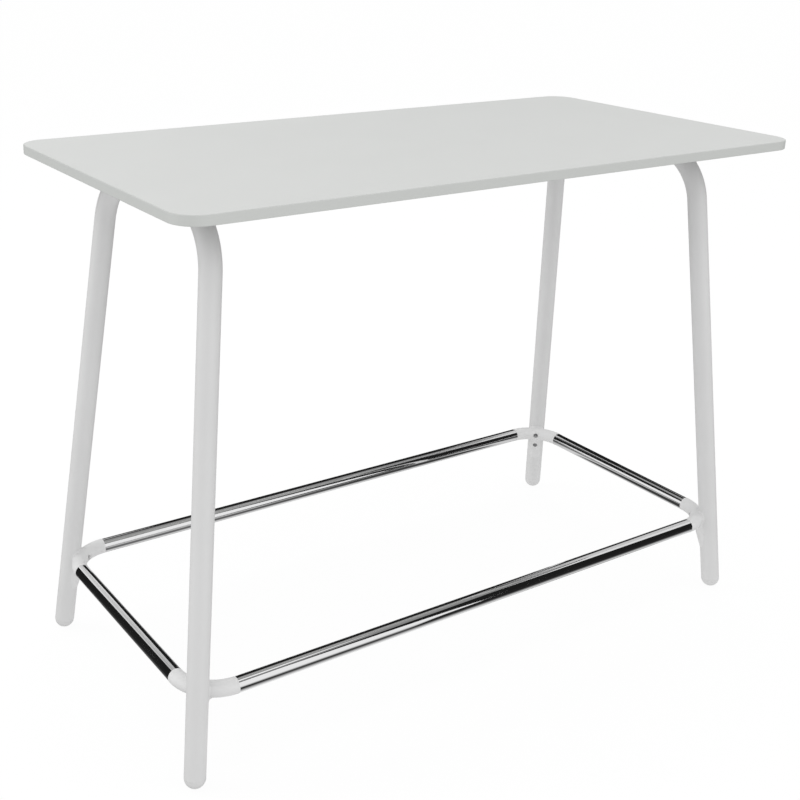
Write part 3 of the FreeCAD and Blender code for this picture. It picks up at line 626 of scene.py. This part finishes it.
def makeScrewTree(values):
    # button head screws on points, each facing along its point's own direction
    tree, given, result = newTree("buttonScrews", {
        "Head Radius": "Float", "Rim Height": "Float", "Dome Radius": "Float", "Shank Radius": "Float",
        "Shank Length": "Float", "Socket Width": "Float", "Socket Depth": "Float", "Round Steps": "Int",
        "Turn Seed": "Int", "Finish": "Material",
    })
    head, crown = domedHead(tree, given, values["domeRings"])
    solid = combined(tree, "UNION", head, shankUnder(tree, given))
    whole = combined(tree, "DIFFERENCE", solid, *socketCuts(tree, given, crown, values))
    # one on every point, each stopped at an angle of its own
    facing = addNode(tree, "GeometryNodeInputNamedAttribute", data_type="FLOAT_VECTOR", Name="facing")
    align = addNode(tree, "FunctionNodeAlignRotationToVector", axis="Z")
    angle = addNode(tree, "FunctionNodeRandomValue", data_type="FLOAT")
    twist = addNode(tree, "FunctionNodeAxisAngleToRotation")
    both = addNode(tree, "FunctionNodeRotateRotation", rotation_space="LOCAL")
    copies = addNode(tree, "GeometryNodeInstanceOnPoints")
    join(tree,
         (facing.outputs["Attribute"], align.inputs["Vector"]),
         (math.pi, angle.inputs[3]),
         (given["Turn Seed"], angle.inputs["Seed"]),
         (angle.outputs[1], twist.inputs["Angle"]),
         (align.outputs[0], both.inputs["Rotation"]),
         (twist.outputs[0], both.inputs["Rotate By"]),
         (given["Geometry"], copies.inputs["Points"]),
         (whole, copies.inputs["Instance"]),
         (both.outputs[0], copies.inputs["Rotation"]))
    finishTree(tree, copies.outputs[0], given, result)
    return tree


screwTree = makeScrewTree(screw)


def pointsObject(name, places):
    # a vertex for each screw, with the way its head faces
    mesh = bpy.data.meshes.new(name + "Points")
    mesh.from_pydata([place for place, way in places], [], [])
    facing = mesh.attributes.new("facing", "FLOAT_VECTOR", "POINT")
    for index, (place, way) in enumerate(places):
        facing.data[index].vector = way
    holder = bpy.data.objects.new(name + "Points", mesh)
    bpy.context.scene.collection.objects.link(holder)
    return holder


def makeScrews(name, values, places, length, seed):
    rise = values["headHeight"] - values["rimHeight"]
    return runTree(name, pointsObject(name, places), screwTree, {
        "Head Radius": values["headRadius"], "Rim Height": values["rimHeight"],
        "Dome Radius": (values["headRadius"] ** 2 + rise ** 2) / (2 * rise),
        "Shank Radius": values["shankRadius"], "Shank Length": length, "Socket Width": values["socketWidth"],
        "Socket Depth": values["socketDepth"], "Round Steps": values["roundSteps"], "Turn Seed": seed,
        "Finish": zinc,
    })


cornerScrews = {
    "bite": 0.011,
    "upperSeat": 0.012,   # leg's surface to the head's seat
    "lowerSeat": 0.0045,
    "drop": 0.036,        # between the two screws, along the leg
    "elbow": 0.080,
    "elbowRadius": 0.0155,
}


def cornerPlaces(drop, seat):
    # one screw in each corner, square to its leg and facing the table's middle
    up = Vector((-legTube["slope"], -legTube["slope"], 1)).normalized()
    foot = Vector((legTube["footX"], legTube["footY"], legTube["radius"]))
    toMiddle = Vector((-1, -1, 0)).normalized()
    out = (toMiddle - up * toMiddle.dot(up)).normalized()
    crossing = Vector((railTube["lineX"], railTube["lineY"], railTube["height"]))
    inward = cornerScrews["elbow"] * (math.sqrt(2) - 1) + cornerScrews["elbowRadius"]
    mouth = crossing + toMiddle * inward
    onLeg = foot + up * ((mouth - foot).dot(up) - drop)
    place = onLeg + out * (legTube["radius"] + seat)
    return [(Vector((x * place.x, y * place.y, place.z)), Vector((x * out.x, y * out.y, out.z)))
            for x in (-1, 1) for y in (-1, 1)]


boardScrews = {
    "bite": 0.011,
    "runX": 0.57133,      # the leg tube's level run from the middle
    "outerReach": 0.030,
    "innerReach": 0.042,
    "spacerX": 0.200,
    "offsetY": 0.070,
    "lugSeat": 1.028,
    "lug": 0.004,         # thickness of the lugs and the spacers
    "stretcherSeat": 1.008,
    "stretcher": 0.020,   # height of the stretchers, which their screws pass through first
}


def boardPlaces(seat, *rows):
    down = Vector((0, 0, -1))
    return [(Vector((side * row, along * boardScrews["offsetY"], seat)), down)
            for row in rows for side in (-1, 1) for along in (-1, 1)]


upperPlaces = cornerPlaces(0, cornerScrews["upperSeat"])
lowerPlaces = cornerPlaces(cornerScrews["drop"], cornerScrews["lowerSeat"])
lugPlaces = boardPlaces(boardScrews["lugSeat"], boardScrews["runX"] + boardScrews["outerReach"])
stretcherPlaces = boardPlaces(boardScrews["stretcherSeat"], boardScrews["runX"] - boardScrews["innerReach"],
                              boardScrews["spacerX"])
upperLength = cornerScrews["upperSeat"] + cornerScrews["bite"]
lowerLength = cornerScrews["lowerSeat"] + cornerScrews["bite"]
lugLength = boardScrews["lug"] + boardScrews["bite"]

for name, node, places, length, seed in (
    ("connectorUpperScrews", "connector_upper_screws", upperPlaces, upperLength, 3),
    ("connectorLowerScrews", "connector_lower_screws", lowerPlaces, lowerLength, 8),
    ("lugScrews", "lug_screws", lugPlaces, lugLength, 5),
    ("stretcherScrews", "stretcher_screws", stretcherPlaces, boardScrews["stretcher"] + lugLength, 6),
):
    screws = makeScrews(name, screw, places, length, seed)
    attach(screws, "root")
    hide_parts(node)
print("screws placed")

# the beads that join the lugs to the leg tubes
weld = {
    "radius": 0.0022,
    "length": 0.033,
    "reach": 0.0128,      # bead from the tube's centre, along X
    "height": 1.0268,
    "ripple": 0.0013,     # metres between ripples
    "rippleDepth": 0.07,
    "rippleSteps": 6,
    "lumps": 420,
    "lumpDepth": 0.35,
    "bluntness": 14.0,    # how suddenly a bead thins at its ends
    "endPart": 0.2,       # what is left of its radius there
    "roundSteps": 20,
}


def makeBeadTree(values):
    tree, given, result = newTree("weldBeads", {
        "Bead Radius": "Float", "Ripple Pitch": "Float", "Ripple Depth": "Float", "Seed": "Float",
        "Finish": "Material",
    })
    pitch = given["Ripple Pitch"]
    along = addNode(tree, "GeometryNodeSplineParameter").outputs
    lumps = addNode(tree, "ShaderNodeTexNoise", noise_dimensions="4D", Scale=values["lumps"], Detail=1.0)
    turns = times(tree, mathNode(tree, "DIVIDE", along["Length"], pitch), 2 * math.pi)
    ripple = times(tree, mathNode(tree, "SINE", turns), given["Ripple Depth"])
    uneven = times(tree, minus(tree, lumps.outputs["Fac"], 0.5), values["lumpDepth"])
    fromMiddle = times(tree, mathNode(tree, "ABSOLUTE", minus(tree, along["Factor"], 0.5)), 2.0)
    full = mathNode(tree, "SQRT", minus(tree, 1.0, mathNode(tree, "POWER", fromMiddle, values["bluntness"])))
    taper = plus(tree, times(tree, full, 1 - values["endPart"]), values["endPart"])
    fine = addNode(tree, "GeometryNodeResampleCurve", mode="LENGTH")
    swell = addNode(tree, "GeometryNodeSetCurveRadius")
    ring = addNode(tree, "GeometryNodeCurvePrimitiveCircle", Resolution=values["roundSteps"])
    sweep = addNode(tree, "GeometryNodeCurveToMesh", Fill_Caps=True)
    join(tree,
         (given["Seed"], lumps.inputs["W"]),
         (given["Geometry"], fine.inputs["Curve"]),
         (mathNode(tree, "DIVIDE", pitch, values["rippleSteps"]), fine.inputs["Length"]),
         (fine.outputs["Curve"], swell.inputs["Curve"]),
         (times(tree, taper, plus(tree, 1.0, ripple, uneven)), swell.inputs["Radius"]),
         (given["Bead Radius"], ring.inputs["Radius"]),
         (swell.outputs["Curve"], sweep.inputs["Curve"]),
         (ring.outputs["Curve"], sweep.inputs["Profile Curve"]),
         (addNode(tree, "GeometryNodeInputRadius").outputs[0], sweep.inputs["Scale"]))
    finishTree(tree, sweep.outputs["Mesh"], given, result)
    return tree


beadTree = makeBeadTree(weld)


def makeBeads(name, values, side, seed):
    half = values["length"] / 2
    paths = [[(side * boardScrews["runX"] + reach, y * boardScrews["offsetY"] + end, values["height"])
              for end in (-half, half)] for reach in (-values["reach"], values["reach"]) for y in (-1, 1)]
    return runTree(name, pathObject(name, *paths), beadTree, {
        "Bead Radius": values["radius"], "Ripple Pitch": values["ripple"],
        "Ripple Depth": values["rippleDepth"], "Seed": seed, "Finish": powderCoat,
    }, sharpAt=60)


for name, side, seed in (("weldBeadsLeft", -1, 2.0), ("weldBeadsRight", 1, 7.0)):
    beads = makeBeads(name, weld, side, seed)
    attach(beads, "root")
print("welds laid")

studio = {
    "world": 0.95,
    "paper": 0.82,        # the light that the floor throws back
    "seenGlow": 0.92,     # part of the floor's look that no shadow dims
    "reach": 60,          # the floor's half width
}


def seenRays(tree):
    # 1 for camera, glossy and transmission rays
    path = addNode(tree, "ShaderNodeLightPath").outputs
    straight = mathNode(tree, "MAXIMUM", path["Is Camera Ray"], path["Is Glossy Ray"])
    return mathNode(tree, "MAXIMUM", straight, path["Is Transmission Ray"])


def addStaging(name, vertices, faces, onlyMirrored):
    mesh = bpy.data.meshes.new(name)
    mesh.from_pydata(vertices, [], faces)
    thing = bpy.data.objects.new(name, mesh)
    bpy.context.scene.collection.objects.link(thing)
    mat, tree, shader = newMaterial(name)
    tree.nodes.remove(shader)
    mesh.materials.append(mat)
    if onlyMirrored:
        for ray in ("camera", "diffuse", "transmission", "shadow", "volume_scatter"):
            setattr(thing, "visible_" + ray, False)
    return tree, tree.nodes["Material Output"].inputs["Surface"]


def addGround(name, height, onlyMirrored):
    reach = studio["reach"]
    corners = [(x * reach, y * reach, height) for x, y in ((-1, -1), (1, -1), (1, 1), (-1, 1))]
    return addStaging(name, corners, [(0, 1, 2, 3)], onlyMirrored)


def addFloor(values):
    tree, surface = addGround("floor", 0, onlyMirrored=False)
    paper = addNode(tree, "ShaderNodeEmission", Strength=values["paper"])
    white = addNode(tree, "ShaderNodeBsdfDiffuse", Color=(1, 1, 1, 1))
    glow = addNode(tree, "ShaderNodeEmission", Strength=1.0)
    shown = addNode(tree, "ShaderNodeMixShader", Fac=values["seenGlow"])
    either = addNode(tree, "ShaderNodeMixShader")
    join(tree, (white.outputs[0], shown.inputs[1]), (glow.outputs[0], shown.inputs[2]),
         (seenRays(tree), either.inputs[0]), (paper.outputs[0], either.inputs[1]),
         (shown.outputs[0], either.inputs[2]), (either.outputs[0], surface))


def addWorld(values):
    world = bpy.data.worlds.new("world")
    world.use_nodes = True
    bpy.context.scene.world = world
    tree = world.node_tree
    background = tree.nodes["Background"]
    strength = spread(tree, seenRays(tree), values["world"], 1, 0, 1)
    join(tree, ((1, 1, 1, 1), background.inputs["Color"]), (strength, background.inputs["Strength"]))


addFloor(studio)
addWorld(studio)

# a sheet just over the floor that glows only for polished metal, its brightness painted by place round the
# table: painted reflection for the foot rails
floorCard = {
    "height": 0.001,
    "dark": 0.015,
    "underRails": 0.64,               # brightness right under a foot rail
    "outerFade": 0.125,               # metres in which that falls to about a third, outside the ring of rails
    "innerFade": 0.065,               # and inside it
    "sideShift": 0.03,                # how far outside the side rails it lies
    # each of these is a value at one place and at the next, and those places' X, Y or distance from the ring
    "leftEnd": (0.1, 1, -0.70, -0.60),        # what is left of the light under the rails, by X
    "cornerShade": (0, 0.8, 0.28, 0.42),      # and what is missing of it at the ring's right end, by X
    "cornerEdge": (1, 0, -0.055, -0.02),      # that shade lies inside the ring only, by distance
    "inside": (0.12, 0.03, -0.35, 0.25),      # brightness inside the ring, by X
    "insideEdge": (1, 0, -0.05, 0.0),         # and by distance
    "frontStrip": (0.55, 0, -0.28, 0.05),     # a strip more of it along the front rail, by Y
    "stripLength": (1, 0, 0.0, 0.3),          # and by X
    "sideBlur": 0.01,                 # how softly a lit card starts and ends
    "outBlur": 0.2,
}

# where the cards are bright again: centre, degrees from +X towards +Y, metres from the centre where
# that starts, is full and ends, and its brightness
litCards = [
    ((-0.2, -0.3, 0), -112, -56, 0.27, 1.1, 90, 0.74),
    ((0.45, 0.05, 0), 124, 151, 0.30, 1.0, 1.3, 0.55),
]


def litCard(tree, place, values, centre, start, end, near, far, out, glow):
    middle, half = math.radians((start + end) / 2), math.radians((end - start) / 2)
    fromCentre = vectorNode(tree, "SUBTRACT", place, centre)
    reach = vectorNode(tree, "LENGTH", fromCentre)
    towards = vectorNode(tree, "DOT_PRODUCT", vectorNode(tree, "NORMALIZE", fromCentre),
                         (math.cos(middle), math.sin(middle), 0))
    blur = values["sideBlur"]
    return times(tree, spread(tree, towards, 0, 1, math.cos(half) - blur, math.cos(half) + blur),
                 spread(tree, reach, 0, glow, near, far),
                 spread(tree, reach, 1, 0, out, out + values["outBlur"]))


def paintedReflectionLight(tree, values):
    # painted reflection: bright under the rails and towards the windows, and dark elsewhere
    place = addNode(tree, "ShaderNodeTexCoord").outputs["Object"]
    x, y = partsOf(tree, place)[:2]
    pastX = minus(tree, mathNode(tree, "ABSOLUTE", x), railTube["lineX"])
    pastY = minus(tree, mathNode(tree, "ABSOLUTE", y), railTube["lineY"])
    past = mathNode(tree, "MAXIMUM", pastX, pastY)        # metres outside the ring of rails
    shifted = mathNode(tree, "MAXIMUM", minus(tree, pastX, values["sideShift"]), pastY)
    faded = mathNode(tree, "MAXIMUM", mathNode(tree, "DIVIDE", shifted, values["outerFade"]),
                     mathNode(tree, "DIVIDE", shifted, -values["innerFade"]))
    corner = times(tree, spread(tree, x, *values["cornerShade"]), spread(tree, past, *values["cornerEdge"]))
    under = times(tree, mathNode(tree, "EXPONENT", times(tree, faded, faded, -1.0)), minus(tree, 1.0, corner),
                  values["underRails"], spread(tree, x, *values["leftEnd"]))
    strip = times(tree, spread(tree, y, *values["frontStrip"]), spread(tree, x, *values["stripLength"]))
    inside = times(tree, plus(tree, spread(tree, x, *values["inside"]), strip),
                   spread(tree, past, *values["insideEdge"]))
    lit = [litCard(tree, place, values, *card) for card in litCards]
    return plus(tree, under, inside, values["dark"], *lit)


def addFloorCards(values):
    tree, surface = addGround("floorCards", values["height"], onlyMirrored=True)
    light = addNode(tree, "ShaderNodeEmission")
    join(tree, (paintedReflectionLight(tree, values), light.inputs["Strength"]), (light.outputs[0], surface))


addFloorCards(floorCard)

room = {
    "radius": 12.0,
    "apart": 0.1,         # from each panel to the next in front of it
    "behind": 0.5,        # from the first panel back to a dark wall
    "dark": 0.012,
    "wallLow": -0.5,      # degrees up
    "wallHigh": 89.5,
    "step": 5,            # about the degrees from vertex to vertex
}

# panels round the studio that only polished metal mirrors: degrees from +X towards +Y, degrees up,
# brightness at the foot and at the head
panels = [
    ("frontWindow", -112, -56, -1, 47, 0.86, 0.86),
    ("ceiling", -180, 180, 50.5, 89, 0.24, 0.24),
    ("skylight", -62, 16, 61.5, 88, 0.92, 0.92),
    ("topStripLeft", -28, -2, 37, 49.5, 0.76, 0.76),
    ("topStripRight", -2, 27, 37, 49.5, 0.60, 0.60),
    ("rightWindow", 14, 36.5, 23, 43, 0.60, 0.60),
    ("rightGlow", 36.5, 39.5, 24, 40, 0.18, 0.25),
    ("rearGap", 36, 66, 44, 57, 0.012, 0.012),
    ("archGap", 66, 116, 47, 52, 0.012, 0.012),
    ("rearArch", 68, 116, 29, 46, 0.92, 0.25),
    ("leftWindow", 136, 172, 0, 36, 0.86, 0.86),
    ("sideWindow", 172, 232, 4, 40, 0.60, 0.60),
]


def addPanel(name, start, end, low, high, foot, head, radius):
    across = max(2, round((end - start) / room["step"]))
    up = max(2, round((high - low) / room["step"]))
    vertices, faces = [], []
    for row in range(up + 1):
        lift = math.radians(low + (high - low) * row / up)
        for column in range(across + 1):
            turn = math.radians(start + (end - start) * column / across)
            flat = radius * math.cos(lift)
            vertices.append((flat * math.cos(turn), flat * math.sin(turn), radius * math.sin(lift)))
    for row in range(up):
        for column in range(across):
            first = row * (across + 1) + column
            faces.append((first, first + 1, first + across + 2, first + across + 1))
    tree, surface = addStaging(name, vertices, faces, onlyMirrored=True)
    light = addNode(tree, "ShaderNodeEmission", Strength=foot)
    join(tree, (light.outputs[0], surface))
    if foot != head:
        height = partsOf(tree, addNode(tree, "ShaderNodeTexCoord").outputs["Object"])[2]
        ends = [radius * math.sin(math.radians(angle)) for angle in (low, high)]
        join(tree, (spread(tree, height, foot, head, *ends), light.inputs["Strength"]))


def addRoom(values):
    addPanel("darkWall", -180, 180, values["wallLow"], values["wallHigh"], values["dark"], values["dark"],
             values["radius"] + values["behind"])
    for number, panel in enumerate(panels):
        addPanel(*panel, values["radius"] - values["apart"] * number)


addRoom(room)

# large soft lamps: place, what they face, size, power
lamps = {
    "overhead": ((0.6, 0.5, 5.0), (0.2, 0.1, 1), 5.0, 25),
    "leftFill": ((-2.8, 2.2, 2.8), (-0.4, 0, 0.7), 2.5, 27),
    "rightFill": ((2.8, -2.8, 2.6), (0.4, 0, 0.7), 2.5, 8),
    "lowFill": ((-3.0, -2.4, 0.7), (-0.5, -0.3, 0.3), 1.5, 3),
}


def addLamp(name, place, aim, size, power):
    data = bpy.data.lights.new(name, "AREA")
    data.shape = "SQUARE"
    data.size = size
    data.energy = power
    lamp = bpy.data.objects.new(name, data)
    lamp.rotation_euler = (Vector(aim) - Vector(place)).to_track_quat("-Z", "Y").to_euler()
    lamp.location = place
    lamp.visible_camera = False
    lamp.visible_glossy = False
    bpy.context.scene.collection.objects.link(lamp)


for name, settings in lamps.items():
    addLamp(name, *settings)
bpy.context.scene.view_settings.view_transform = "Standard"
print("studio set")
